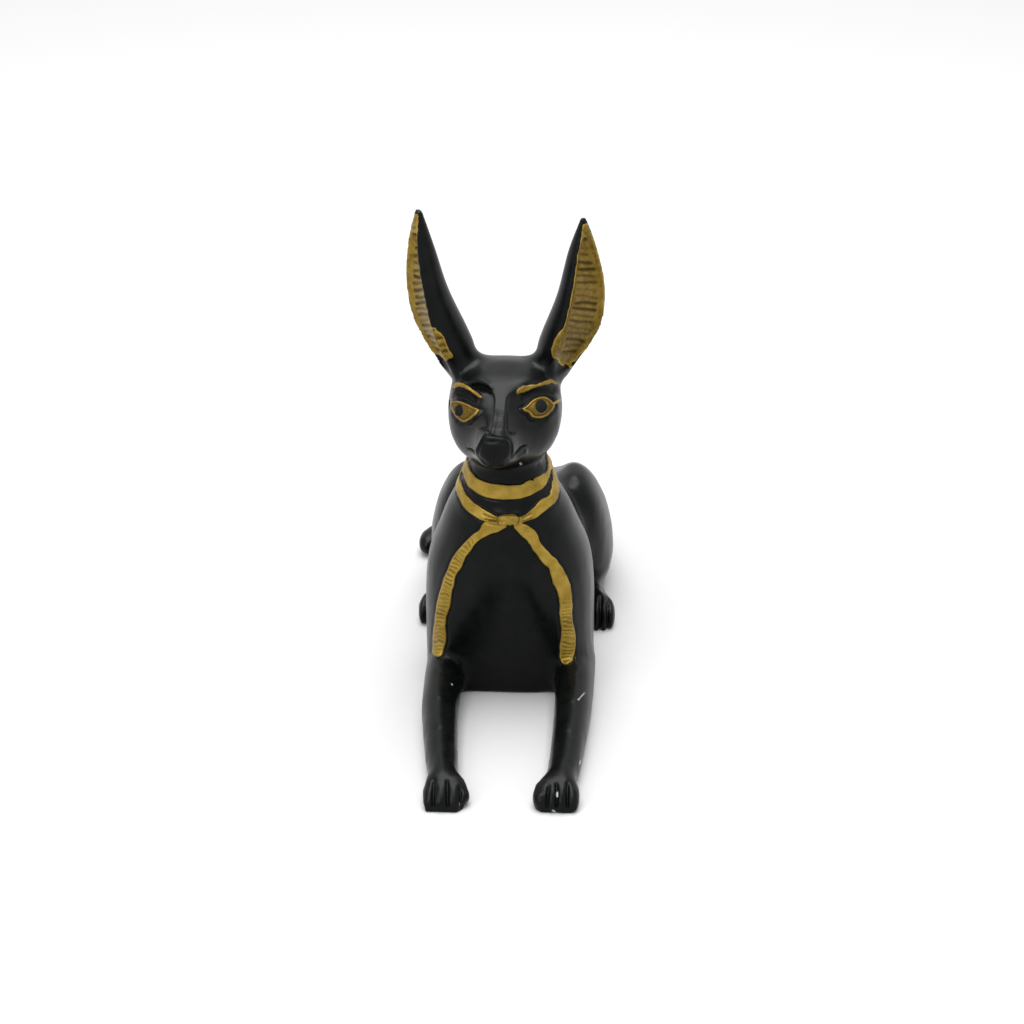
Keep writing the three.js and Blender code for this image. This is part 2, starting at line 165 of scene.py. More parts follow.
# A ledge: on one side of a line the surface drops by the depth, and comes back up over `fade`
def ledge(spots, points, depth, sharp, fade, reach=1.2):
    line = smoothLine(points)
    distance, along, side = alongLine(spots, line)
    distance = distance * side / pxPerMm
    fall = ease(-sharp / 2, sharp / 2, distance) * (1 - ease(0, fade, distance))
    return -depth * fall * tapered(line, along, reach)


# Distance in mm inside a painted stroke, whose half width in pixels goes from the first to the last
def stroke(spots, points, halves):
    line = smoothLine(points)
    distance, along, _ = alongLine(spots, line)
    half = np.interp(along / lengthOf(line), np.linspace(0, 1, len(halves)), halves)
    return (half - distance) / pxPerMm


# A dent or a bump with an oval edge
def spotOf(spots, centre, halves):
    return np.exp(-(((spots - centre) / halves) ** 2).sum(1))


# A smooth random value between about -1 and 1, with bumps of the given size in mm
def wobble(places, size, seed):
    random = np.random.default_rng(seed)
    total = np.zeros(len(places))
    for _ in range(10):
        direction = random.normal(size=places.shape[1])
        direction *= 2 * math.pi / size * random.uniform(0.6, 1.4) / np.linalg.norm(direction)
        total += np.sin(places @ direction + random.uniform(0, 2 * math.pi))
    return total / 3


# How far the edge of the paint strays: by how much in mm, the size of its bumps, and a seed
def strayed(places, form):
    height, size, seed = form
    return height * wobble(places, size, seed)


def linked(name, data):
    piece = bpy.data.objects.new(name, data)
    bpy.context.scene.collection.objects.link(piece)
    return piece


# Puts the result of a piece's modifiers in its mesh
def applied(piece):
    graph = bpy.context.evaluated_depsgraph_get()
    made = bpy.data.meshes.new_from_object(piece.evaluated_get(graph), depsgraph=graph)
    old = piece.data
    piece.modifiers.clear()
    piece.data = made
    bpy.data.meshes.remove(old)
    return piece


def numbersOf(items, name, width, kind=np.float32):
    flat = np.empty(len(items) * width, kind)
    items.foreach_get(name, flat)
    return flat.reshape(-1, width)


def placesOf(mesh):
    return numbersOf(mesh.vertices, "co", 3).astype(float) / mm


def movePlaces(mesh, places):
    mesh.vertices.foreach_set("co", (places * mm).astype(np.float32).ravel())
    mesh.update()


def normalsOf(mesh):
    return numbersOf(mesh.vertex_normals, "vector", 3).astype(float)


def edgesOf(mesh):
    return numbersOf(mesh.edges, "vertices", 2, np.int32)


# The mean of each vertex's neighbours along the edges
def neighbourMean(values, edges):
    count = np.bincount(edges.ravel(), minlength=len(values))
    first, second = edges.T
    sums = [
        np.bincount(first, column[second], len(values)) + np.bincount(second, column[first], len(values))
        for column in values.reshape(len(values), -1).T
    ]
    return (np.array(sums) / count).T.reshape(values.shape)


# Evens a surface out: each pull moves a vertex by that share towards the mean of its neighbours
def evened(places, edges, pulls, weight=1.0):
    for pull in pulls:
        places = places + pull * np.reshape(weight, (-1, 1)) * (neighbourMean(places, edges) - places)
    return places


cast = {
    "voxel": 0.4,  # mm, faces of the fine copy
    "broadVoxel": 1.0,  # mm, faces of the copy that gives the broad smooth forms
    "broadPulls": [0.6, -0.62] * 20,
    "bodyPulls": [0.5] * 8,
    "spinePulls": [0.5] * 25,
    "splitPulls": [0.5, -0.52] * 2,
    "weightLevels": 8,  # steps of the weight with which the fine copy follows the broad one
    "triangles": 196000,
    # Faces are split, in turn, where the relief bends by more than the first figure between
    # neighbouring vertices, or the edge of the paint is nearer than the second. All in mm.
    "splits": [(0.012, 0.3), (0.022, 0.06)],
    "fineScuffAndGlint": 0.02,
}
# Weights for the smoothing. Each stretch gives its axis, where the weight is 0 and where it is 1, in
# mm, and a place has the product. y runs to the tail and z up; `aside` is away from the middle plane.
smoothZones = {
    "paws": [("y", -55, -60), ("z", 12, 9)],
    "earRoots": [("z", 61, 66), ("aside", 6, 9)],
    "body": [("y", -30, -18), ("y", 58, 52), ("z", 9, 14), ("z", 46, 40)],
    "spine": [("y", -16, -8), ("z", 22, 28), ("aside", 11, 7)],
    "skull": [("y", -14, -8), ("z", 50, 56), ("z", 72, 67)],
    "ears": [("z", 66, 70)],
    "besideEars": [("aside", 3, 6)],
}


def zoneWeight(places, name):
    x, y, z = places.T
    axes = {"y": y, "z": z, "aside": np.abs(x)}
    return np.prod([ease(low, high, axes[axis]) for axis, low, high in smoothZones[name]], axis=0)


# A copy of the solid with even faces of the given size
def evenCopy(name, size):
    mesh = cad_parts["jackal_figure"].data.copy()
    bm = bmesh.new()
    bm.from_mesh(mesh)
    bmesh.ops.remove_doubles(bm, verts=bm.verts, dist=0.001 * mm)
    bm.to_mesh(mesh)
    bm.free()
    piece = linked(name, mesh)
    remesh = piece.modifiers.new("even faces", "REMESH")
    remesh.mode = "VOXEL"
    remesh.voxel_size = size * mm
    return applied(piece)


# How far the broad smoothing holds: less at the paws and the roots of the ears, whose forms are small
def broadWeight(places):
    return 1 - 0.75 * zoneWeight(places, "paws") - 0.65 * zoneWeight(places, "earRoots")


# Where the body is rounded off further: a little all over, more along the spine and behind the skull
def bodyWeights(places):
    ridges = np.maximum(zoneWeight(places, "spine"), zoneWeight(places, "skull"))
    return [(zoneWeight(places, "body"), cast["bodyPulls"]), (ridges, cast["spinePulls"])]


broad = evenCopy("broad_forms", cast["broadVoxel"])
places = placesOf(broad.data)
edges = edgesOf(broad.data)
places = evened(places, edges, cast["broadPulls"], broadWeight(places))
for weight, pulls in bodyWeights(places):
    places = evened(places, edges, pulls, weight)
movePlaces(broad.data, places)
roundOff = broad.modifiers.new("round", "SUBSURF")
roundOff.levels = roundOff.render_levels = 1
applied(broad)
jackal = evenCopy("jackal", cast["voxel"])
print("copies of the cast made:", len(jackal.data.vertices), "vertices")

# The ears, section by section from the root up: the height, the middle of the section, its half
# width, and its reach before and behind that middle. `facing` is how far the hollow turns outward.
# Outlines and lines, here and below, are pixels of the photograph, read off it. Reliefs are in mm.
ears = [{
    "hand": 1,
    "facing": 0.92,
    "sections": [
        (62.0, 8.145, -12.575, 2.6, 1.0, 3.0),
        (68.4, 11.345, -12.775, 4.4, 1.2, 7.0),
        (75.0, 14.645, -12.175, 6.7, 1.0, 7.8),
        (83.5, 16.145, -11.575, 5.8, 0.9, 5.8),
        (92.5, 16.045, -11.575, 3.2, 0.7, 3.7),
        (99.5, 15.445, -11.575, 0.5, 0.3, 0.5),
    ],
    # At a height, how far the gold keeps from the inner and from the outer edge, in mm
    "goldEdges": [
        (72.0, 0.5, 0.4), (77.0, 0.4, 0.4), (84.0, 0.3, 0.35), (92.5, 0.2, 0.4), (97.0, 0.3, 0.4),
    ],
    "goldTop": 98.3,
    # The lower end of the gold, which frays out over the skull
    "goldEnd": [
        (568, 298), (565.3, 310), (560.5, 324), (555.2, 339.5), (551.2, 350), (552.3, 356.5), (556.6, 359),
        (560, 364.5), (563.5, 366), (566, 364), (571.3, 368), (572, 362.5), (576, 361), (579, 356),
        (583.9, 351.6), (596, 341), (612, 325), (616, 298),
    ],
    "groove": [
        (580.6, 233), (580, 245), (578.6, 257), (577.6, 273), (575.6, 289), (572.6, 305), (569.2, 317),
        (565.6, 329), (561.6, 341), (558.6, 354),
    ],
}, {
    "hand": -1,
    "facing": 1.15,
    "sections": [
        (62.0, -6.455, -12.575, 2.6, 1.0, 3.0),
        (68.4, -11.355, -12.775, 5.2, 1.2, 7.4),
        (75.4, -15.455, -12.175, 6.8, 1.0, 8.4),
        (84.0, -17.255, -11.575, 5.8, 0.9, 6.2),
        (92.6, -17.655, -11.575, 3.2, 0.7, 4.0),
        (100.4, -17.055, -11.575, 0.7, 0.4, 0.9),
    ],
    "goldEdges": [
        (72.0, 0.0, 0.2), (78.0, 0.1, 0.2), (84.0, 1.2, 0.2), (92.0, 0.9, 0.2), (97.0, 0.1, 0.1),
    ],
    "goldTop": 99.9,
    "goldEnd": [
        (392, 290), (404, 326), (417, 342), (428, 350), (433.5, 352.6), (440, 355.5), (445.3, 360.6),
        (449, 358), (452.6, 357.5), (452.4, 352.5), (449.5, 346), (444.2, 336.6), (437.9, 326),
        (433.2, 316), (430.2, 307), (428, 298), (426.5, 290),
    ],
    "groove": [],
}]
earForm = {
    "wall": 0.9,  # mm, the rim round the hollow
    "hollow": 1.5,
    "leastInner": 0.05,  # half the hollow's width where it runs out
    "beside": 4.0,  # the ears are further than this from the middle plane
    "root": 63.0,  # from here up the ears stand out of the skull
    "rootRise": 3.5,
    "rootMiddle": 1.5,  # half the strip between the inner and the outer half of a root
    "from": 71.0,  # and between these heights they are all there is
    "full": 74.0,
    "frontTurn": 0.35,  # a normal turned outward by more lies in the hollow
    "rimBlend": (-0.25, 0.1),  # from the floor of the hollow to its rim
    "closing": (97, 93),  # the heights between which the hollow runs out
    "onForm": (0.16, 0.08),  # how near the section, as a share, a root's vertex is moved onto it
    "evenPulls": [0.5, -0.52] * 4,
    "rootBand": (71.0, 4.0),  # the height round which the roots are smoothed, and how far
    "rootPulls": [0.5, -0.51] * 12,
    "innerRootPulls": [0.5] * 16,
    "wobble": (0.08, 2.0, 41),
    "goldFrom": (76.0, 79.0),  # the gold follows the ear's own edges from between these heights up
    "goldTurn": (3, 0.1),  # there it ends where the surface turns away: how steeply, and how early
    "endTurn": 4,
    "goldBack": 1.6,  # how far behind the plane of the rim the gold ends
    "goldBead": (0.1, 0.25, 0.2),
    "ribHeights": (71.5, 98.0),
    "ribPitches": (1.2, 1.5),  # up the ear, from the lowest ribs to the highest
    "ribPitchSpread": (0.85, 1.15),
    "ribSlope": 0.34,  # the ribs sink towards the outer rim
    "ribDepth": 0.38,
    "ribWidth": 0.38,
    "ribFade": 0.5,
    "ribShade": 0.7,  # an exponent, which widens the painted shade beside the ribs
    # Each rib draws its depth, how far it stops short of either end, and its lean
    "ribSpread": ((0.6, 1.15), (-0.3, 0.5), (-0.2, 0.5), (-0.06, 0.06)),
    "ribBend": 0.1,
    "ribBends": (0.5, 1.1),
    # Where the ribs end, from the inner and the outer edge of the hollow, in half widths
    "ribEnds": {1: (0.36, 0.1), -1: (-0.4, 0.1)},
    "grooveDepth": 0.36,
    "grooveWidth": 0.27,
    "grooveShade": 0.9,
    "shade": {1: 0.5, -1: 0.3},  # of the painted shade over the whole gold of each ear
    "smears": (0.16, 1.3, 43),
    "endShade": 0.15,
    "seed": 4,
}


# Places in an ear's own directions: `aside` along its width, `ahead` out of the hollow, and the
# sizes of its section at their heights
def inEar(ear, places):
    rows = smoothLine(ear["sections"], 12)
    middleX, middleY, half, before, behind = (
        np.interp(places[:, 2], rows[:, 0], rows[:, k]) for k in range(1, 6)
    )
    sideways = np.array([math.cos(ear["facing"]) * ear["hand"], math.sin(ear["facing"])])
    outward = np.array([math.sin(ear["facing"]) * ear["hand"], -math.cos(ear["facing"])])
    gap = places[:, :2] - np.stack([middleX, middleY], 1)
    return gap @ sideways, gap @ outward, (half, before, behind), (sideways, outward)


# 1 on the outer half of the roots of the ears, which stand out of the skull there
def outerRoots(places):
    x, y, z = places.T
    share = np.zeros(len(places))
    for ear in ears:
        rows = smoothLine(ear["sections"], 12)
        middle = ear["hand"] * np.interp(z, rows[:, 0], rows[:, 1])
        outer = ease(-earForm["rootMiddle"], earForm["rootMiddle"], x * ear["hand"] - middle)
        outer = outer * ease(earForm["root"], earForm["root"] + earForm["rootRise"], z)
        share = np.maximum(share, outer)
    return share


# Moves the vertices of the ears from the facets onto the smooth form
def roundEars(places, normals):
    places = places.copy()
    for ear in ears:
        isEar = (places[:, 2] > earForm["root"]) & (places[:, 0] * ear["hand"] > earForm["beside"])
        chosen = np.nonzero(isEar)[0]
        spots = places[chosen]
        aside, ahead, (half, before, behind), (sideways, outward) = inEar(ear, spots)
        inner = np.maximum(half - earForm["wall"], earForm["leastInner"])
        reach = np.where(ahead > 0, before, behind)
        radius = np.sqrt((aside / half) ** 2 + (ahead / reach) ** 2)
        radius = np.clip(radius, 0.5, 2)
        newAside, newAhead = aside / radius, ahead / radius
        front = normals[chosen, :2] @ outward > earForm["frontTurn"]
        front &= np.abs(aside) < inner + earForm["leastInner"]
        floor = -(earForm["hollow"] - before) * np.sqrt(np.clip(1 - (aside / inner) ** 2, 0, 1))
        lip = before * np.sqrt(np.clip(1 - (aside / half) ** 2, 0, 1))
        rim = ease(*earForm["rimBlend"], np.abs(aside) - inner)
        hollowed = ease(*earForm["closing"], spots[:, 2])
        dish = floor * (1 - rim) * hollowed + lip * (rim + (1 - rim) * (1 - hollowed))
        newAhead[front] = dish[front]
        newAside[front] = aside[front]
        share = ease(earForm["from"], earForm["full"], spots[:, 2])
        near = ease(*earForm["onForm"], np.abs(radius - 1)) * ~front
        share = np.maximum(share, near * outerRoots(spots))[:, None]
        shift = (newAside - aside)[:, None] * sideways + (newAhead - ahead)[:, None] * outward
        spots[:, :2] += shift * share
        places[chosen] = spots
    return places


places = placesOf(jackal.data)
broadShare = (1 - ease(earForm["from"], earForm["full"], places[:, 2])) * (1 - outerRoots(places))
group = jackal.vertex_groups.new(name="broad")
levels = cast["weightLevels"]
for level in range(1, levels + 1):
    chosen = np.nonzero(np.ceil(broadShare * levels) == level)[0]
    group.add(chosen.tolist(), level / levels, "REPLACE")
wrap = jackal.modifiers.new("broad forms", "SHRINKWRAP")
wrap.target = broad
wrap.wrap_method = "NEAREST_SURFACEPOINT"
wrap.vertex_group = "broad"
applied(jackal)
jackal.vertex_groups.clear()
bpy.data.objects.remove(broad)
places = roundEars(placesOf(jackal.data), normalsOf(jackal.data))
edges = edgesOf(jackal.data)
places = evened(places, edges, earForm["evenPulls"], zoneWeight(places, "ears"))
rootHeight, rootReach = earForm["rootBand"]
earRoots = bell(places[:, 2] - rootHeight, rootReach) * zoneWeight(places, "besideEars")
places = evened(places, edges, earForm["rootPulls"], earRoots)
places = evened(places, edges, earForm["innerRootPulls"], earRoots * (1 - outerRoots(places)))
movePlaces(jackal.data, places)
print("broad forms smoothed")

eyes = [{
    "outline": [
        (451.2, 401.8), (457.9, 401.3), (466.8, 404), (473, 407.1), (478.4, 409.4), (479.3, 410.7),
        (475.7, 415.6), (470.8, 419.2), (465.9, 422.1), (461.4, 421), (456, 416), (451.6, 407.1),
    ],
    "tail": [(452.5, 405), (449.5, 402.5), (446.5, 401.5)],
    "pupil": (459.8, 410.7),
    "pupilHalf": (4.0, 5.5),
    "brown": (469, 411.2),
    "brows": [
        ([(453.4, 387.5), (457.9, 384.8), (463.2, 385.7), (469.5, 389.3), (475.7, 393.8), (480.6, 397.3)],
         [1.3, 2.2, 1.9, 1.3, 1.8, 1.2]),
    ],
    "hollow": [(452.5, 394), (458, 391.5), (465, 393), (472, 397.8), (479, 403.5)],
    "hollowDepth": 0.85,
    "lid": [(453.4, 398.7), (460.5, 398.2), (469.5, 401.3), (475.7, 405.4)],
    "under": [(454.5, 419), (460, 424), (467, 425.5), (474, 421.5)],
    "ledge": [(466.8, 386.5), (475.7, 382.5), (484.6, 384.4), (490.9, 389), (493.3, 397),
              (493.3, 410), (492, 424), (488.5, 433.5)],
    "ledgeForm": (1.15, 0.22, 2.9),
    "folds": [
        ([(472, 388), (477.5, 390.5), (483.5, 395)], 0.3, 0.25),
        ([(465, 384), (474.5, 380.5), (484.6, 382.2), (492.5, 387.5)], 0.2, 0.4),
        ([(491, 388.5), (495.4, 396.5), (495.4, 410), (493.8, 424), (491, 437)], 0.24, 0.5),
    ],
}, {
    "outline": [
        (522.1, 408.5), (527, 405.4), (532, 400.6), (538.2, 397.3), (544.5, 397.1), (549.8, 400),
        (553.8, 404.4), (553, 408.6), (548.9, 413.4), (543.6, 417.4), (538.2, 418.3), (532, 417.4),
        (528.4, 412.9), (524.8, 411.6),
    ],
    "tail": [(551.5, 406), (556, 402.6), (561, 399.4)],
    "pupil": (540.9, 406.7),
    "pupilHalf": (5.8, 6.4),
    "brown": (531.3, 406.8),
    "brows": [
        ([(518.5, 391.8), (524, 389.2), (531, 387.2), (538, 385.6), (545.4, 382.9), (550.7, 381.3),
          (555, 383.2)], [1.8, 3.2, 2.4, 1.2, 1.6, 2.3, 1.4]),
    ],
    "hollow": [(519.5, 400), (526, 395.6), (533, 392.6), (540, 390.8), (547.5, 389.3), (553.5, 391),
               (558, 396)],
    "hollowDepth": 0.8,
    "lid": [],
    "under": [(526, 417.5), (533, 422), (541, 422.3), (549, 417.5)],
    "ledge": [(508.5, 436), (507.5, 420), (507.5, 405), (511, 396), (520, 390.5), (531, 382.5)],
    "ledgeForm": (0.45, 1.0, 3.8),
    "folds": [([(505.5, 394), (505.5, 408), (504.5, 422), (503.5, 434)], 0.11, 0.8)],
}]
# A bead's form is its height, how far inside the edge it runs, and its width
eyeForm = {
    "relief": 0.22,
    "wobble": (0.03, 1.6, 11),
    "tail": (1.6, 1.4, 1.2),  # half widths in pixels
    "rim": (0.1, 0.26, 0.17),
    "inset": (0.09, 0.52, 0.13),
    "crease": (0.3, -0.4, 0.26),
    "ball": 0.12,
    "pupil": 0.14,
    "pupilRim": (0.05, 0.0, 0.1),
    # Of the darkening of the gold: painted shade in the line inside the rim, and darker gold within that
    # line, all over, in the brown corner and round the pupil
    "insetShade": (0.3, 0.5, 0.15),
    "innerShade": 0.45,
    "shade": 0.45,
    "brownShade": 0.8,
    "brownReach": 0.75,
    "pupilShade": (0.35, -0.05, 0.2),
    "brow": 0.32,
    "browShade": 0.45,
    "hollowWidth": 0.75,
    "hollowShade": 0.8,
    "hollowReach": 1.6,
    "lid": (0.26, 0.28),  # height and width
    "under": (-0.16, 0.4),
}
nose = {
    "outline": [
        (486.4, 435.7), (495.4, 437), (506, 438.4), (511, 442.9), (511.4, 452.7), (507.9, 459.8),
        (502.5, 465.2), (490, 465.2), (482.9, 460.7), (478.4, 455.4), (479.3, 449), (482.9, 441),
    ],
    "pad": 0.06,
    "padEdge": (0.12, 0.0, 0.2),
    "padShade": 0.4,
    "nostrils": [((492.6, 441.4), (6.2, 1.9), 0.42), ((503.4, 443.2), (2.8, 1.6), 0.2)],
    "bumps": [((487, 458), (2.4, 1.8), 0.22), ((501.8, 458.6), (2.4, 1.8), 0.22)],
    "cleft": [(494.5, 451), (494.3, 458), (494.6, 464.5)],
    "cleftForm": (-0.25, 0.2),
    "lipForm": (0.34, 0.3),
    "sideForm": (0.14, 0.25),
    "mouthForm": (0.5, 0.2, 0.8, 1),
    # From the bridge down the left of the pad, under it, and up along the mouth
    "lip": [(488.5, 429), (484.5, 435.5), (481, 442), (477.5, 449), (476.4, 454.5), (478.5, 459.5),
            (482.5, 463), (488, 465.6), (497, 467.8), (506.5, 465.4), (513, 461.5), (519, 456.8),
            (528, 449)],
    "side": [(512, 441), (513, 449), (513.3, 457)],
    "mouths": [
        [(509.5, 460), (513.6, 456), (518, 451.2), (522, 447), (527.5, 444.4)],
        [(477, 455.5), (474, 452), (470.5, 449.5), (466, 448)],
    ],
}
unpainted = -4.0  # mm inside the edge of the gold, where none is near


# A relief's layers: the lift, the gold, the darkening by painted shade and wash, and the scuffs with
# painted glints
def blankRelief(part):
    count = len(part["spots"])
    return {"lift": np.zeros(count), "gold": np.full(count, unpainted),
            "shadeAndWash": np.zeros(count), "scuffAndGlint": np.zeros(count)}


# Keeps the larger of a layer's value and a new one
def atLeast(made, layer, value):
    made[layer] = np.maximum(made[layer], value)


# Cuts along lines. The form is the cut's depth, its width, how far its ends taper, and the painted shade
# in it.
def cutLines(made, spots, lines, form):
    depth, width, reach, shade = form
    for line in lines:
        cut = ridge(spots, line, 1, width, reach)
        made["lift"] -= depth * cut
        atLeast(made, "shadeAndWash", shade * cut)


# Raises what is inside an edge, with a bead along it and a groove outside it, and paints it gold
def raiseGold(made, paint, form):
    made["lift"] += form["relief"] * ease(*form["edge"], paint) + bead(paint, form["bead"])
    made["lift"] -= bead(paint, form["groove"])
    atLeast(made, "gold", paint)


def eyeRelief(part):
    spots, made, form = part["spots"], blankRelief(part), eyeForm
    edge = strayed(part["places"], form["wobble"])
    for eye in eyes:
        almond = insideOutline(spots, rounded(eye["outline"], 4)) + edge
        tail = stroke(spots, eye["tail"], form["tail"])
        gap = (spots - eye["pupil"]) / eye["pupilHalf"]
        radius = np.hypot(gap[:, 0], gap[:, 1])
        pupil = (1 - radius) * np.mean(eye["pupilHalf"]) / pxPerMm + edge
        made["lift"] += form["relief"] * ease(-0.12, 0.12, almond)
        made["lift"] += bead(almond, form["rim"])
        made["lift"] += form["ball"] * bell(radius, 1.5) * ease(-0.1, 0.4, almond)
        made["lift"] -= form["pupil"] * ease(-0.1, 0.12, pupil) + bead(pupil, form["pupilRim"])
        made["lift"] -= bead(almond, form["inset"])
        # Painted shade in the line inside the rim; the gold is also darker within that line and all over
        eyeShadeAndWash = bead(almond, form["insetShade"]) + form["innerShade"] * ease(0.35, 0.55, almond)
        eyeShadeAndWash = eyeShadeAndWash + form["shade"] * ease(-0.1, 0, almond)
        atLeast(made, "shadeAndWash", eyeShadeAndWash)
        made["lift"] -= bead(almond, form["crease"])
        atLeast(made, "gold", np.minimum(np.maximum(almond, tail), -pupil))
        brownGap = np.hypot(*(spots - eye["brown"]).T) / pxPerMm
        brown = form["brownShade"] * bell(brownGap, form["brownReach"])
        atLeast(made, "shadeAndWash", brown + bead(pupil, form["pupilShade"]))
        for line, halves in eye["brows"]:
            paint = stroke(spots, line, halves) + edge
            made["lift"] += form["brow"] * ease(-0.15, 0.2, paint)
            atLeast(made, "gold", paint)
            atLeast(made, "shadeAndWash", form["browShade"] * ease(-0.1, 0, paint))
        reach = form["hollowReach"]
        made["lift"] += ridge(spots, eye["hollow"], -eye["hollowDepth"], form["hollowWidth"], reach)
        shade = ridge(spots, eye["hollow"], form["hollowShade"], 1.0, reach) * (almond < 0)
        atLeast(made, "shadeAndWash", shade)
        if eye["lid"]:
            made["lift"] += ridge(spots, eye["lid"], *form["lid"])
        for line, height, width in eye["folds"]:
            made["lift"] += ridge(spots, line, height, width)
        made["lift"] += ridge(spots, eye["under"], *form["under"])
        made["lift"] += ledge(spots, eye["ledge"], *eye["ledgeForm"])
    return made


def noseRelief(part):
    spots, made = part["spots"], blankRelief(part)
    pad = insideOutline(spots, rounded(nose["outline"], 4))
    made["lift"] += nose["pad"] * ease(0, 0.6, pad) - bead(pad, nose["padEdge"])
    made["shadeAndWash"] = nose["padShade"] * ease(0, 0.4, pad)
    for centre, halves, depth in nose["nostrils"]:
        pit = spotOf(spots, centre, halves)
        made["lift"] -= depth * pit
        atLeast(made, "shadeAndWash", pit)
    for centre, halves, height in nose["bumps"]:
        made["lift"] += height * spotOf(spots, centre, halves)
    made["lift"] += ridge(spots, nose["cleft"], *nose["cleftForm"])
    lip = ridge(spots, nose["lip"], *nose["lipForm"])
    made["lift"] += lip + ridge(spots, nose["side"], *nose["sideForm"])
    cutLines(made, spots, nose["mouths"], nose["mouthForm"])
    return made


# The collar and the ribbon's loop: outlines at the front, and level lines round the neck behind
neckBands = [{
    "outline": [
        (466, 453.4), (468.2, 453.4), (468.8, 464.4), (471, 470.9), (475.4, 475.8), (481, 479.8),
        (490.9, 483.4), (504.6, 485.2), (520, 484.4), (529, 480.2), (532.5, 480.6), (534, 478.4),
        (540.6, 475), (546.6, 471.3), (547.8, 466), (547.8, 455), (550.5, 453), (552.5, 461),
        (551.2, 468.5), (549.4, 475), (545.6, 483.9), (541.3, 489.2), (533, 494.2), (523, 497.9),
        (506.2, 499.7), (489.3, 498.2), (478.6, 493.4), (471, 488), (467.3, 483.9), (465.6, 479),
        (463.5, 472.5), (463, 462.8),
    ],
    "height": 50.2,  # at y = 0, and how it changes along y and x
    "rise": 0.1,
    "lean": -0.01,
    "half": 1.25,
}, {
    "outline": [
        (450, 466), (453, 478), (456.5, 488.5), (460.8, 500.5), (466.3, 509.7), (475.5, 516.6),
        (483.2, 521.2), (495.4, 523.5), (509, 524.6), (523, 522.7), (535.3, 518.1), (547.5, 508.9),
        (555.2, 501.3), (559, 490.5), (558.6, 481), (556.4, 472), (553.4, 463), (552, 463), (552.1, 472.5),
        (552, 480.7), (550.6, 490.5), (547.5, 496.7), (541.4, 499.7), (532.2, 508.9), (522.2, 516.8),
        (509, 516), (497, 516), (492.4, 514.3), (481.7, 508.1), (471, 499.7), (464.6, 491), (461.5, 482.5),
        (458.5, 472), (456, 464),
    ],
    "height": 49.2,
    "rise": 0.21,
    "lean": 0.04,
    "half": 0.95,
}]
bandForm = {
    "relief": 0.2,
    "edge": (-0.12, 0.12),  # from outside to inside
    "wobble": (0.06, 2.4, 21),
    "bead": (0.07, 0.25, 0.16),
    "groove": (0.16, -0.3, 0.2),
    "seen": (0.12, 0.3),  # the outlines take over where the surface faces the camera by this much
    "backFrom": -24,  # y where the level lines begin
    "streaks": 0.22,  # of the dark wash, along the band
    "streakStretch": [0.35, 0.35, 2.2],
    "streakSize": 2.0,
    "streakSeed": 22,
}
knot = {
    "middle": (508.8, 519.6),
    "halves": (12.6, 5.4),
    "relief": 0.6,
    "goldTo": 1.02,  # in half widths
    "shade": 0.3,
    "creaseForm": (0.24, 0.22, 0.4, 0.8),
    "creases": [
        [(499.5, 514), (497.2, 519), (499.5, 525)], [(516.8, 513.5), (518.8, 519), (516.5, 525)],
        [(482.5, 513.5), (489, 516.5), (497, 518.5)], [(484, 519), (490, 520.4), (497, 521)],
        [(521, 518.6), (526, 516.4), (532, 513)], [(521, 521.6), (527, 520.4), (533, 517.5)],
    ],
}
ribbons = [{
    "outline": [
        (484, 522), (479, 530.5), (473, 535), (463, 545), (454, 556), (449, 567), (445, 577), (441.6, 587),
        (439, 597), (436.6, 609), (435, 621), (433.6, 636), (432.8, 650), (434.5, 655.5), (438, 656.8),
        (441.5, 655.5), (444, 650), (446.2, 640), (446, 621), (448.5, 611), (451, 602), (453.8, 583),
        (457.5, 573.5), (462, 565), (468, 554), (475, 545), (482, 538.5), (490, 534.6), (499, 531.5),
        (506.5, 527), (504, 523),
    ],
    "middle": [(495, 526.5), (481, 535), (468, 547), (457, 563), (449.5, 582),
               (444.5, 603), (440.5, 625), (438.5, 656)],
    "ribsFrom": (530, 548),
}, {
    "outline": [
        (513.5, 523.5), (515.5, 530), (528, 542), (533.5, 550.5), (540, 559), (545.5, 565), (550, 572),
        (553, 583), (558, 592), (559.6, 602), (559.4, 613), (560.6, 625), (561.2, 637), (560, 646),
        (559.6, 657), (561.5, 662.5), (566, 664.6), (571, 662), (573.6, 656), (575, 645), (574.6, 634),
        (572.8, 623), (571.6, 613), (571.6, 600), (570.6, 589), (567.5, 578.5), (563, 569.5), (558.5, 563),
        (553, 556.5), (546, 550), (540, 542), (536, 533.5), (529, 526.5), (522, 523.5),
    ],
    "middle": [(520, 526), (534, 542), (546, 558), (556.5, 572), (564.5, 591),
               (565.8, 613), (567.8, 634), (567, 664)],
    "ribsFrom": (590, 612),
}]
ribbonForm = {
    "relief": 0.26,
    "edge": (-0.12, 0.14),
    "wobble": (0.07, 1.9, 31),
    "bead": (0.06, 0.28, 0.18),
    "groove": (0.14, -0.3, 0.2),
    "ribPitch": 0.8,
    "ribDepth": 0.15,
    "ribWidth": 0.17,
    "ribStray": (0.16, 3.0, 32),
    "ribLean": 0.05,
    "ribSpread": (0.45, 1.15),
    "ribInside": (0.2, 0.45),  # how far inside the edge the ribs begin
    "ribShade": 0.75,
    "seed": 7,
}


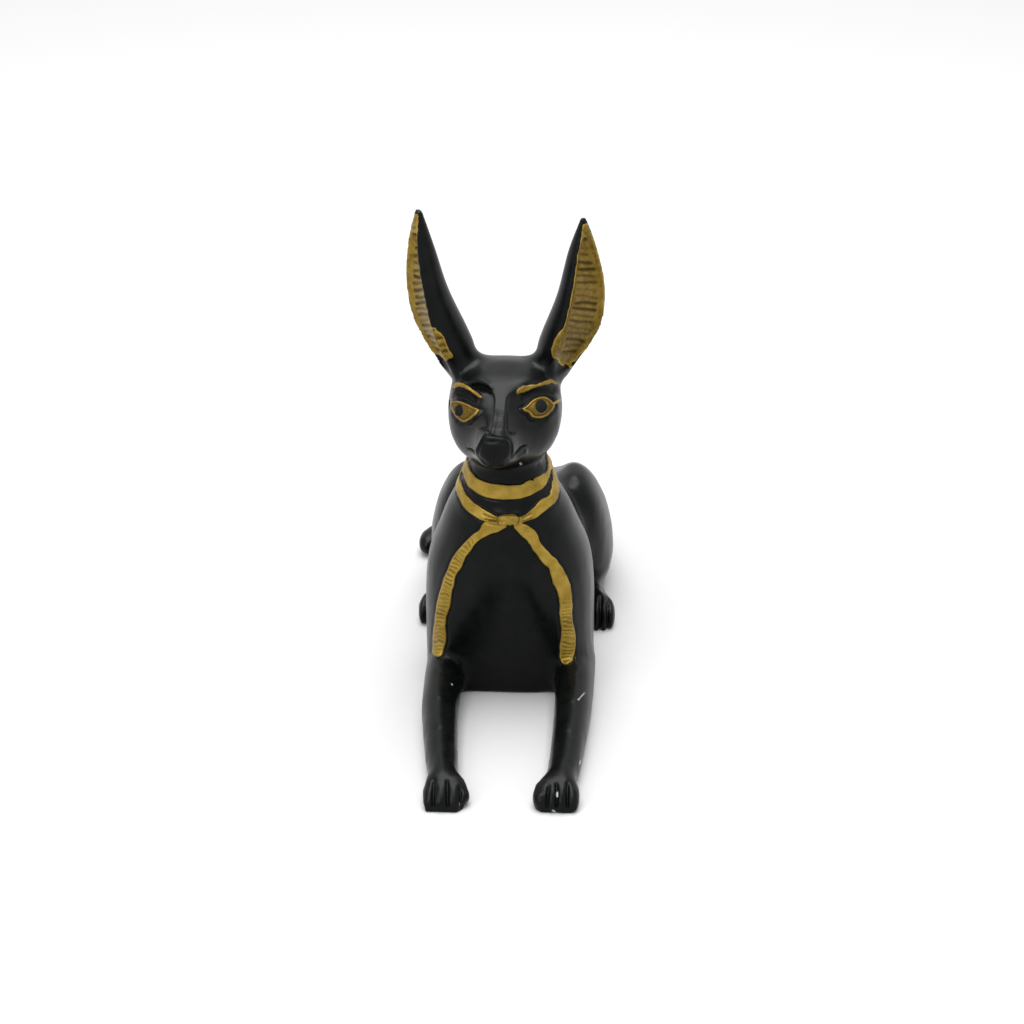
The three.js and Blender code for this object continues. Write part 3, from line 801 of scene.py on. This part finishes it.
def bandRelief(part):
    spots, made, form = part["spots"], blankRelief(part), bandForm
    x, y, z = part["places"].T
    edge = strayed(part["places"], form["wobble"])
    seen = ease(*form["seen"], part["facing"])
    for band in neckBands:
        ahead = insideOutline(spots, rounded(band["outline"]))
        middle = band["height"] + band["rise"] * y + band["lean"] * x
        behind = band["half"] - np.abs(z - middle) / math.hypot(1, band["rise"])
        behind = np.minimum(behind, y - form["backFrom"])
        paint = seen * ahead + (1 - seen) * behind + edge
        raiseGold(made, paint, form)
        spread = part["places"] * form["streakStretch"]
        streaks = ease(0.2, 0.9, wobble(spread, form["streakSize"], form["streakSeed"]))
        atLeast(made, "shadeAndWash", form["streaks"] * streaks * (paint > 0))
    return made


def ribbonRelief(part):
    spots, made, form = part["spots"], blankRelief(part), ribbonForm
    edge = strayed(part["places"], form["wobble"])
    for i, ribbon in enumerate(ribbons):
        paint = insideOutline(spots, rounded(ribbon["outline"])) + edge
        raiseGold(made, paint, form)
        distance, along, side = alongLine(spots, smoothLine(ribbon["middle"]))
        stray, straySize, straySeed = form["ribStray"]
        along = along / pxPerMm + stray * wobble(part["places"], straySize, straySeed + i)
        along = along + form["ribLean"] * distance * side / pxPerMm
        phase = along / form["ribPitch"]
        gap = np.abs(phase - np.round(phase)) * form["ribPitch"]
        depths = np.random.default_rng(form["seed"] + i).uniform(*form["ribSpread"], 64)
        rib = bell(gap, form["ribWidth"]) * depths[np.round(phase).astype(int) % len(depths)]
        rib = rib * ease(*ribbon["ribsFrom"], spots[:, 1]) * ease(*form["ribInside"], paint)
        made["lift"] -= form["ribDepth"] * rib
        # Painted shade in the rib grooves
        atLeast(made, "shadeAndWash", form["ribShade"] * rib)
    gap = (spots - knot["middle"]) / knot["halves"]
    radius = np.hypot(gap[:, 0], gap[:, 1])
    made["lift"] += knot["relief"] * np.sqrt(np.clip(1 - radius**2, 0, 1))
    atLeast(made, "gold", (knot["goldTo"] - radius) * knot["halves"][1] / pxPerMm)
    atLeast(made, "shadeAndWash", knot["shade"] * ease(1.1, 0.9, radius))
    cutLines(made, spots, knot["creases"], knot["creaseForm"])
    return made


# The heights of the ribs in an ear, a little uneven
def ribMiddles(random):
    low, high = earForm["ribPitches"]
    bottom, top = earForm["ribHeights"]
    middles = [bottom]
    while middles[-1] < top:
        pitch = low + (high - low) * (middles[-1] - bottom) / (top - bottom)
        middles.append(middles[-1] + pitch * random.uniform(*earForm["ribPitchSpread"]))
    return middles


# Distance in mm inside the gold of an ear
def earGold(ear, part, ahead, edgesAside, outward):
    places = part["places"]
    steepness, early = earForm["goldTurn"]
    above = np.minimum(*edgesAside)
    above = np.minimum(above, ear["goldTop"] - places[:, 2])
    above = np.minimum(above, steepness * (part["normals"][:, :2] @ outward) - early)
    below = insideOutline(part["spots"], rounded(ear["goldEnd"]))
    below = np.minimum(below, earForm["endTurn"] * part["facing"])
    up = ease(*earForm["goldFrom"], places[:, 2])
    return np.minimum(up * above + (1 - up) * below, ahead + earForm["goldBack"]), up


def earRelief(part):
    places, made, form = part["places"], blankRelief(part), earForm
    edge = strayed(places, form["wobble"])
    for i, ear in enumerate(ears):
        aside, ahead, (half, before, behind), (sideways, outward) = inEar(ear, places)
        own = places[:, 0] * ear["hand"] > form["beside"]
        nearEdge, farEdge = (
            np.interp(places[:, 2], *np.array(ear["goldEdges"]).T[[0, k]]) for k in (1, 2)
        )
        edgesAside = (half - nearEdge + aside, half - farEdge - aside)
        paint, up = earGold(ear, part, ahead, edgesAside, outward)
        paint = np.where(own, np.clip(paint, unpainted, -unpainted) + edge, unpainted)
        inner = half - form["wall"]
        inside = ease(0.1, 0.35, paint) * own
        random = np.random.default_rng(form["seed"] + i)
        nearEnd, farEnd = form["ribEnds"][ear["hand"]]
        fade = form["ribFade"]
        height = places[:, 2] + form["ribSlope"] * aside
        for middle in ribMiddles(random):
            depth, near, far, lean = (random.uniform(*pair) for pair in form["ribSpread"])
            bends = np.sin(aside * random.uniform(*form["ribBends"]) + random.uniform(0, 6))
            bend = form["ribBend"] * bends
            groove = bell(height - middle + lean * aside + bend, form["ribWidth"]) * depth * inside
            groove = groove * ease(0, fade, aside + inner * (1 - nearEnd) - near)
            groove = groove * ease(0, fade, inner * (1 - farEnd) - far - aside)
            made["lift"] -= form["ribDepth"] * groove
            # Painted shade along each rib groove
            atLeast(made, "shadeAndWash", groove ** form["ribShade"])
        if ear["groove"]:
            # The lengthwise groove, with painted shade in it
            lengthwise = ridge(part["spots"], ear["groove"], 1, form["grooveWidth"]) * inside
            made["lift"] -= form["grooveDepth"] * lengthwise
            atLeast(made, "shadeAndWash", form["grooveShade"] * lengthwise)
        made["lift"] += bead(paint, form["goldBead"]) * own
        # Painted shade over the ear's gold and more over its lower end, with random smears of wash
        smear, smearSize, smearSeed = form["smears"]
        smears = smear * ease(0.0, 0.9, wobble(places, smearSize, smearSeed + i))
        smears = smears + form["endShade"] * (1 - up)
        shade = (form["shade"][ear["hand"]] + smears) * ease(0.1, 0.5, paint)
        atLeast(made, "shadeAndWash", shade)
        atLeast(made, "gold", paint)
    return made


frontPaws = {
    "grooves": [
        [(433.8, 777), (433.2, 787), (432.8, 801), (433.6, 812)],
        [(446.2, 777), (447.4, 788), (447.4, 801), (448.2, 812)],
        [(458.5, 784), (461, 794), (461.5, 805), (460.5, 812)],
        [(549, 783), (547.6, 795), (546.8, 806), (547, 813)],
        [(555.8, 780), (557, 792), (556.6, 801), (556, 813)], [(567.8, 780), (567.6, 796), (567.6, 813)],
    ],
    "toes": [
        [(427, 785), (427, 809)], [(440.3, 781), (440.3, 810)], [(454, 783), (454.3, 810)],
        [(466, 789), (466, 806)], [(538.5, 790), (538, 809)], [(552.3, 785), (551.8, 811)],
        [(562, 783), (561.8, 811)], [(574, 785), (574.6, 809)],
    ],
    "grooveDepth": 0.55,
    "grooveWidth": 0.34,
    "grooveReach": 1.3,
    "toeRise": 0.26,
    "toeWidth": 0.85,
    "toeReach": 1.5,
}
hindPaws = {
    "middles": [-16.755, 19.645],  # of each paw, along x
    "step": 1.66,  # between the grooves
    "grooves": [-1, 0, 1],  # in steps from the middle
    "toes": [-1.5, -0.5, 0.5, 1.5],
    "front": 5.2,
    "fade": (6.4, 2.5),  # behind the front, where the toes run out
    "depth": 0.5,
    "width": 0.36,
    "toeRise": 0.22,
    "toeWidth": 0.6,
}


def pawRelief(part):
    spots, made, form = part["spots"], blankRelief(part), frontPaws
    for line in form["grooves"]:
        made["lift"] += ridge(spots, line, -form["grooveDepth"], form["grooveWidth"], form["grooveReach"])
    for line in form["toes"]:
        made["lift"] += ridge(spots, line, form["toeRise"], form["toeWidth"], form["toeReach"])
    return made


def hindPawRelief(part):
    made, form = blankRelief(part), hindPaws
    x, y, z = part["places"].T
    reach = ease(*(form["front"] + back for back in form["fade"]), y)
    for middle in form["middles"]:
        for step in form["grooves"]:
            gap = x - middle - step * form["step"]
            made["lift"] -= form["depth"] * bell(gap, form["width"]) * reach
        for step in form["toes"]:
            gap = x - middle - step * form["step"]
            made["lift"] += form["toeRise"] * bell(gap, form["toeWidth"]) * reach
    return made


# Small knocks and scratches in the black paint, and painted glints of light (the marks at 557, 460, 580
# and
# 520 across), each a line and its half width in pixels
scuffsAndGlints = [
    ([(578.4, 699.6), (584.5, 693)], 0.2),
    ([(557.3, 792), (557.3, 796)], 0.7),
    ([(552.9, 810.6), (555, 812.4)], 0.7),
    ([(460.3, 803.8), (460.6, 805.8)], 0.7),
    ([(451.8, 684), (452.2, 684.6)], 0.4),
    ([(580.4, 761), (580, 763.6)], 0.4),
    ([(520.6, 463.4), (521, 464)], 0.8),
]
markDepth = 0.04


def scuffAndGlintRelief(part):
    spots, made = part["spots"], blankRelief(part)
    for line, half in scuffsAndGlints:
        inside = half / pxPerMm - alongLine(spots, np.array(line))[0] / pxPerMm
        mark = ease(-0.12, 0.06, inside)
        atLeast(made, "scuffAndGlint", mark)
        made["lift"] -= markDepth * mark
    return made


huge = 999.0
# Each kind of relief, and the vertices it can be on: more than and less than, in each measure
reliefZones = [
    (eyeRelief, {"z": (55.2, 76), "y": (-huge, -10), "facing": (0.02, huge)}),
    (noseRelief, {"z": (55.2, 68), "y": (-huge, -22), "facing": (0, huge)}),
    (bandRelief, {"z": (40, 56), "y": (-huge, -1), "neckRadius": (-huge, 1.2), "upward": (-0.4, huge)}),
    (ribbonRelief, {"z": (4, 46.5), "y": (-huge, -18), "facing": (0.02, huge)}),
    (earRelief, {"z": (67, huge), "aside": (4, huge)}),
    (pawRelief, {"z": (-huge, 9), "y": (-huge, -58), "facing": (-0.1, huge)}),
    (hindPawRelief, {"z": (-huge, 7), "y": (3, 12.5), "aside": (11, huge), "backward": (-huge, 0.5)}),
    (scuffAndGlintRelief, {"z": (-huge, 56), "y": (-huge, -10), "facing": (0.05, huge)}),
]
# The neck's section at the height `at`, in mm, and how it changes per mm up the neck
neckForm = {
    "at": 48,
    "middle": (0.8, -15.6),
    "shift": (0.06, 0),
    "halves": (8.8, 11.2),
    "taper": (0.22, 0.15),
}


# How far from the neck's middle a place is: 1 on its surface
def neckRadius(places):
    above = places[:, 2:] - neckForm["at"]
    middle = neckForm["middle"] - above * neckForm["shift"]
    halves = neckForm["halves"] - above * neckForm["taper"]
    return np.hypot(*((places[:, :2] - middle) / halves).T)


def carvedRelief(mesh):
    places, normals = placesOf(mesh), normalsOf(mesh)
    spots = inPhoto(places)
    towards = camPlace - places
    facing = (normals * towards).sum(1) / np.linalg.norm(towards, axis=1)
    x, y, z = places.T
    measures = {"aside": np.abs(x), "y": y, "z": z, "facing": facing, "neckRadius": neckRadius(places),
                "upward": normals[:, 2], "backward": normals[:, 1]}
    total = blankRelief({"spots": spots})
    for relief, bounds in reliefZones:
        zone = np.ones(len(places), bool)
        for name, (low, high) in bounds.items():
            zone &= (measures[name] > low) & (measures[name] < high)
        chosen = np.nonzero(zone)[0]
        part = {"places": places[chosen], "normals": normals[chosen],
                "spots": spots[chosen], "facing": facing[chosen]}
        made = relief(part)
        total["lift"][chosen] += made["lift"]
        for name in ("gold", "shadeAndWash", "scuffAndGlint"):
            total[name][chosen] = np.maximum(total[name][chosen], made[name])
    return places, normals, total


# Splits the faces between chosen vertices
def refine(piece, chosen):
    bm = bmesh.new()
    bm.from_mesh(piece.data)
    split = [e for e in bm.edges if chosen[e.verts[0].index] and chosen[e.verts[1].index]]
    bmesh.ops.subdivide_edges(bm, edges=split, cuts=1, use_grid_fill=True)
    bm.to_mesh(piece.data)
    bm.free()


# The vertices where the relief is fine, with their neighbours
def isFine(mesh, total, bend, paintEdge):
    edges = edgesOf(mesh)
    bent = np.abs(total["lift"] - neighbourMean(total["lift"], edges)) > bend
    fine = bent | (np.abs(total["gold"]) < paintEdge) | (total["scuffAndGlint"] > cast["fineScuffAndGlint"])
    return neighbourMean(fine.astype(float), edges) > 0


def countTriangles(mesh):
    return sum(len(face.vertices) - 2 for face in mesh.polygons)


for bend, paintEdge in cast["splits"]:
    places, normals, total = carvedRelief(jackal.data)
    refine(jackal, isFine(jackal.data, total, bend, paintEdge))
    places, normals, total = carvedRelief(jackal.data)
    fine = isFine(jackal.data, total, bend / 4, paintEdge)
    places = evened(places, edgesOf(jackal.data), cast["splitPulls"], fine.astype(float))
    movePlaces(jackal.data, places)
    print("split to", len(places), "vertices")
places, normals, total = carvedRelief(jackal.data)
places = places + normals * total["lift"][:, None]
movePlaces(jackal.data, np.clip(places, *cadBox))
for name in ("gold", "shadeAndWash", "scuffAndGlint"):
    layer = jackal.data.attributes.new(name, "FLOAT", "POINT")
    layer.data.foreach_set("value", total[name].astype(np.float32))
print("relief carved:", len(places), "vertices")

thin = jackal.modifiers.new("thin out", "DECIMATE")
triangles = countTriangles(jackal.data)
thin.ratio = cast["triangles"] / triangles
applied(jackal)
movePlaces(jackal.data, np.clip(placesOf(jackal.data), *cadBox))
jackal.data.polygons.foreach_set("use_smooth", np.ones(len(jackal.data.polygons), bool))
print("triangles:", triangles, "thinned to", countTriangles(jackal.data))

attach(jackal, "root")
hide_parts("jackal_figure")


# Colours are written as sRGB hex and turned to linear here
def linear(hexColour):
    parts = [int(hexColour[i:i + 2], 16) / 255 for i in (1, 3, 5)]
    return [p / 12.92 if p <= 0.04045 else ((p + 0.055) / 1.055) ** 2.4 for p in parts] + [1.0]


# Adds a node; an input given as a socket is linked, and any other value is set
def addNode(tree, kind, settings, inputs):
    node = tree.nodes.new(kind)
    for name, value in settings.items():
        setattr(node, name, value)
    for name, value in inputs.items():
        if isinstance(value, bpy.types.NodeSocket):
            tree.links.new(value, node.inputs[name])
        else:
            node.inputs[name].default_value = value
    return node


enamel = {
    "gold": ("#846c27", "#9d8339"),
    "goldShadeAndWash": "#42310b",  # dark: painted shade in the grooves, creases and over the ears, and an uneven wash
    "black": ("#050706", "#0a0c0b"),
    "bareResinAndGlint": "#a2a4a1",  # where the paint is knocked off, and for the painted glints
    # Sizes of the uneven patches, the grain of the brush and the ragged edge of the gold, in mm
    "patch": 2.6,
    "grain": 0.45,
    "rag": 0.9,
    "bump": 0.06,
    "metallic": 0.5,  # of the gold, which is a paint and not leaf
    "specular": 0.11,
}


# Satin black enamel on cast resin, with hand-painted antique gold where the attribute `gold` says
def enamelAndGold():
    material = bpy.data.materials.new("black_enamel_and_gold_on_resin")
    material.use_nodes = True
    tree = material.node_tree
    shader = tree.nodes["Principled BSDF"]

    def calculated(operation, a, b=0.0, c=0.0, clamp=False):
        settings = {"operation": operation, "use_clamp": clamp}
        return addNode(tree, "ShaderNodeMath", settings, {0: a, 1: b, 2: c}).outputs[0]

    def mixed(factor, a, b):
        return addNode(tree, "ShaderNodeMix", {"data_type": "RGBA"}, {0: factor, 6: a, 7: b}).outputs[2]

    def noise(sizeMm, detail, vector):
        inputs = {"Vector": vector, "Scale": 1 / (sizeMm * mm), "Detail": detail}
        return addNode(tree, "ShaderNodeTexNoise", {}, inputs).outputs["Fac"]

    def attribute(name):
        return addNode(tree, "ShaderNodeAttribute", {"attribute_name": name}, {}).outputs["Fac"]

    def between(low, high, value):
        inputs = {"Value": value, "From Min": low, "From Max": high}
        return addNode(tree, "ShaderNodeMapRange", {"clamp": True}, inputs).outputs[0]

    place = addNode(tree, "ShaderNodeTexCoord", {}, {}).outputs["Object"]
    gold, shadeAndWash, scuffAndGlint = attribute("gold"), attribute("shadeAndWash"), attribute("scuffAndGlint")
    ragged = calculated("MULTIPLY_ADD", noise(enamel["rag"], 3, place), 0.18, -0.09)
    isGold = between(-0.03, 0.05, calculated("ADD", gold, ragged))

    patches = noise(enamel["patch"], 4, place)
    grain = noise(enamel["grain"], 3, place)
    # The gold darkens by the layer of painted shade and wash: painted shade in grooves, creases and over
    # the ears, uneven wash elsewhere. On the black it raises the roughness.
    darken = calculated("ADD", shadeAndWash, calculated("MULTIPLY_ADD", grain, 0.5, -0.27), clamp=True)
    goldTone = mixed(between(0.35, 0.65, patches), *map(linear, enamel["gold"]))
    goldTone = mixed(darken, goldTone, linear(enamel["goldShadeAndWash"]))
    blackTone = mixed(between(0.4, 0.7, patches), *map(linear, enamel["black"]))
    # Scuffs show bare resin, and the same pale grey paints the glints
    blackTone = mixed(scuffAndGlint, blackTone, linear(enamel["bareResinAndGlint"]))
    tree.links.new(mixed(isGold, blackTone, goldTone), shader.inputs["Base Color"])

    sheen = calculated("MULTIPLY_ADD", patches, 0.14, 0.23)
    goldSheen = calculated("MULTIPLY_ADD", grain, 0.25, 0.3)
    sheen = calculated("MULTIPLY_ADD", shadeAndWash, 0.4, sheen)
    rough = calculated("ADD", calculated("MULTIPLY", sheen, calculated("SUBTRACT", 1.0, isGold)),
                       calculated("MULTIPLY", goldSheen, isGold))
    tree.links.new(rough, shader.inputs["Roughness"])
    tree.links.new(calculated("MULTIPLY", isGold, enamel["metallic"]), shader.inputs["Metallic"])
    shader.inputs["Specular IOR Level"].default_value = enamel["specular"]

    goldGrain = calculated("MULTIPLY", grain, calculated("MULTIPLY_ADD", isGold, 0.9, 0.1))
    brushed = calculated("ADD", goldGrain, calculated("MULTIPLY", patches, 0.3))
    inputs = {"Strength": 0.35, "Distance": enamel["bump"] * mm, "Height": brushed}
    bump = addNode(tree, "ShaderNodeBump", {}, inputs)
    tree.links.new(bump.outputs["Normal"], shader.inputs["Normal"])
    return material


jackal.data.materials.clear()
jackal.data.materials.append(enamelAndGold())

# Floor, light and camera. Lengths are in metres and powers in watts.
studio = {
    "floorRadius": 0.62,
    "floor": "#aeaeae",
    "sky": 1.0,  # strength of the white light from all round
    "softBoxes": [
        {"name": "top_softbox", "place": (0, 0.08, 0.9), "aim": (0, 0.08, 0),
         "size": (0.7, 1.1), "power": 16},
        {"name": "front_softbox", "place": (-0.45, -0.6, 0.7), "aim": (0, 0, 0.05),
         "size": (0.5, 0.5), "power": 3},
    ],
}
floorMesh = bpy.data.meshes.new("floor")
bm = bmesh.new()
bmesh.ops.create_circle(bm, cap_ends=True, segments=128, radius=studio["floorRadius"])
bm.to_mesh(floorMesh)
bm.free()
floor = linked("floor", floorMesh)
floorPaint = bpy.data.materials.new("white_card")
floorPaint.use_nodes = True
cardShader = floorPaint.node_tree.nodes["Principled BSDF"]
cardShader.inputs["Base Color"].default_value = linear(studio["floor"])
cardShader.inputs["Roughness"].default_value = 0.9
floorMesh.materials.append(floorPaint)

world = bpy.data.worlds.new("studio")
world.use_nodes = True
world.node_tree.nodes["Background"].inputs["Color"].default_value = linear("#ffffff")
world.node_tree.nodes["Background"].inputs["Strength"].default_value = studio["sky"]
bpy.context.scene.world = world

for box in studio["softBoxes"]:
    light = bpy.data.lights.new(box["name"], "AREA")
    light.shape = "RECTANGLE"
    light.size, light.size_y = box["size"]
    light.energy = box["power"]
    lamp = linked(box["name"], light)
    lamp.location = Vector(box["place"])
    lamp.rotation_euler = (Vector(box["aim"]) - lamp.location).to_track_quat("-Z", "Y").to_euler()

lens = bpy.data.cameras.new("photo_camera")
lens.sensor_fit = "HORIZONTAL"
lens.sensor_width = 36.0
lens.lens = lens.sensor_width * photo["focal"] / photo["size"]
lens.clip_start = 0.01
camera = linked("photo_camera", lens)
camera.location = Vector(camPlace * mm)
camera.rotation_euler = (-Vector(camBack)).to_track_quat("-Z", "Y").to_euler()
bpy.context.scene.camera = camera
bpy.context.scene.view_settings.view_transform = "Standard"
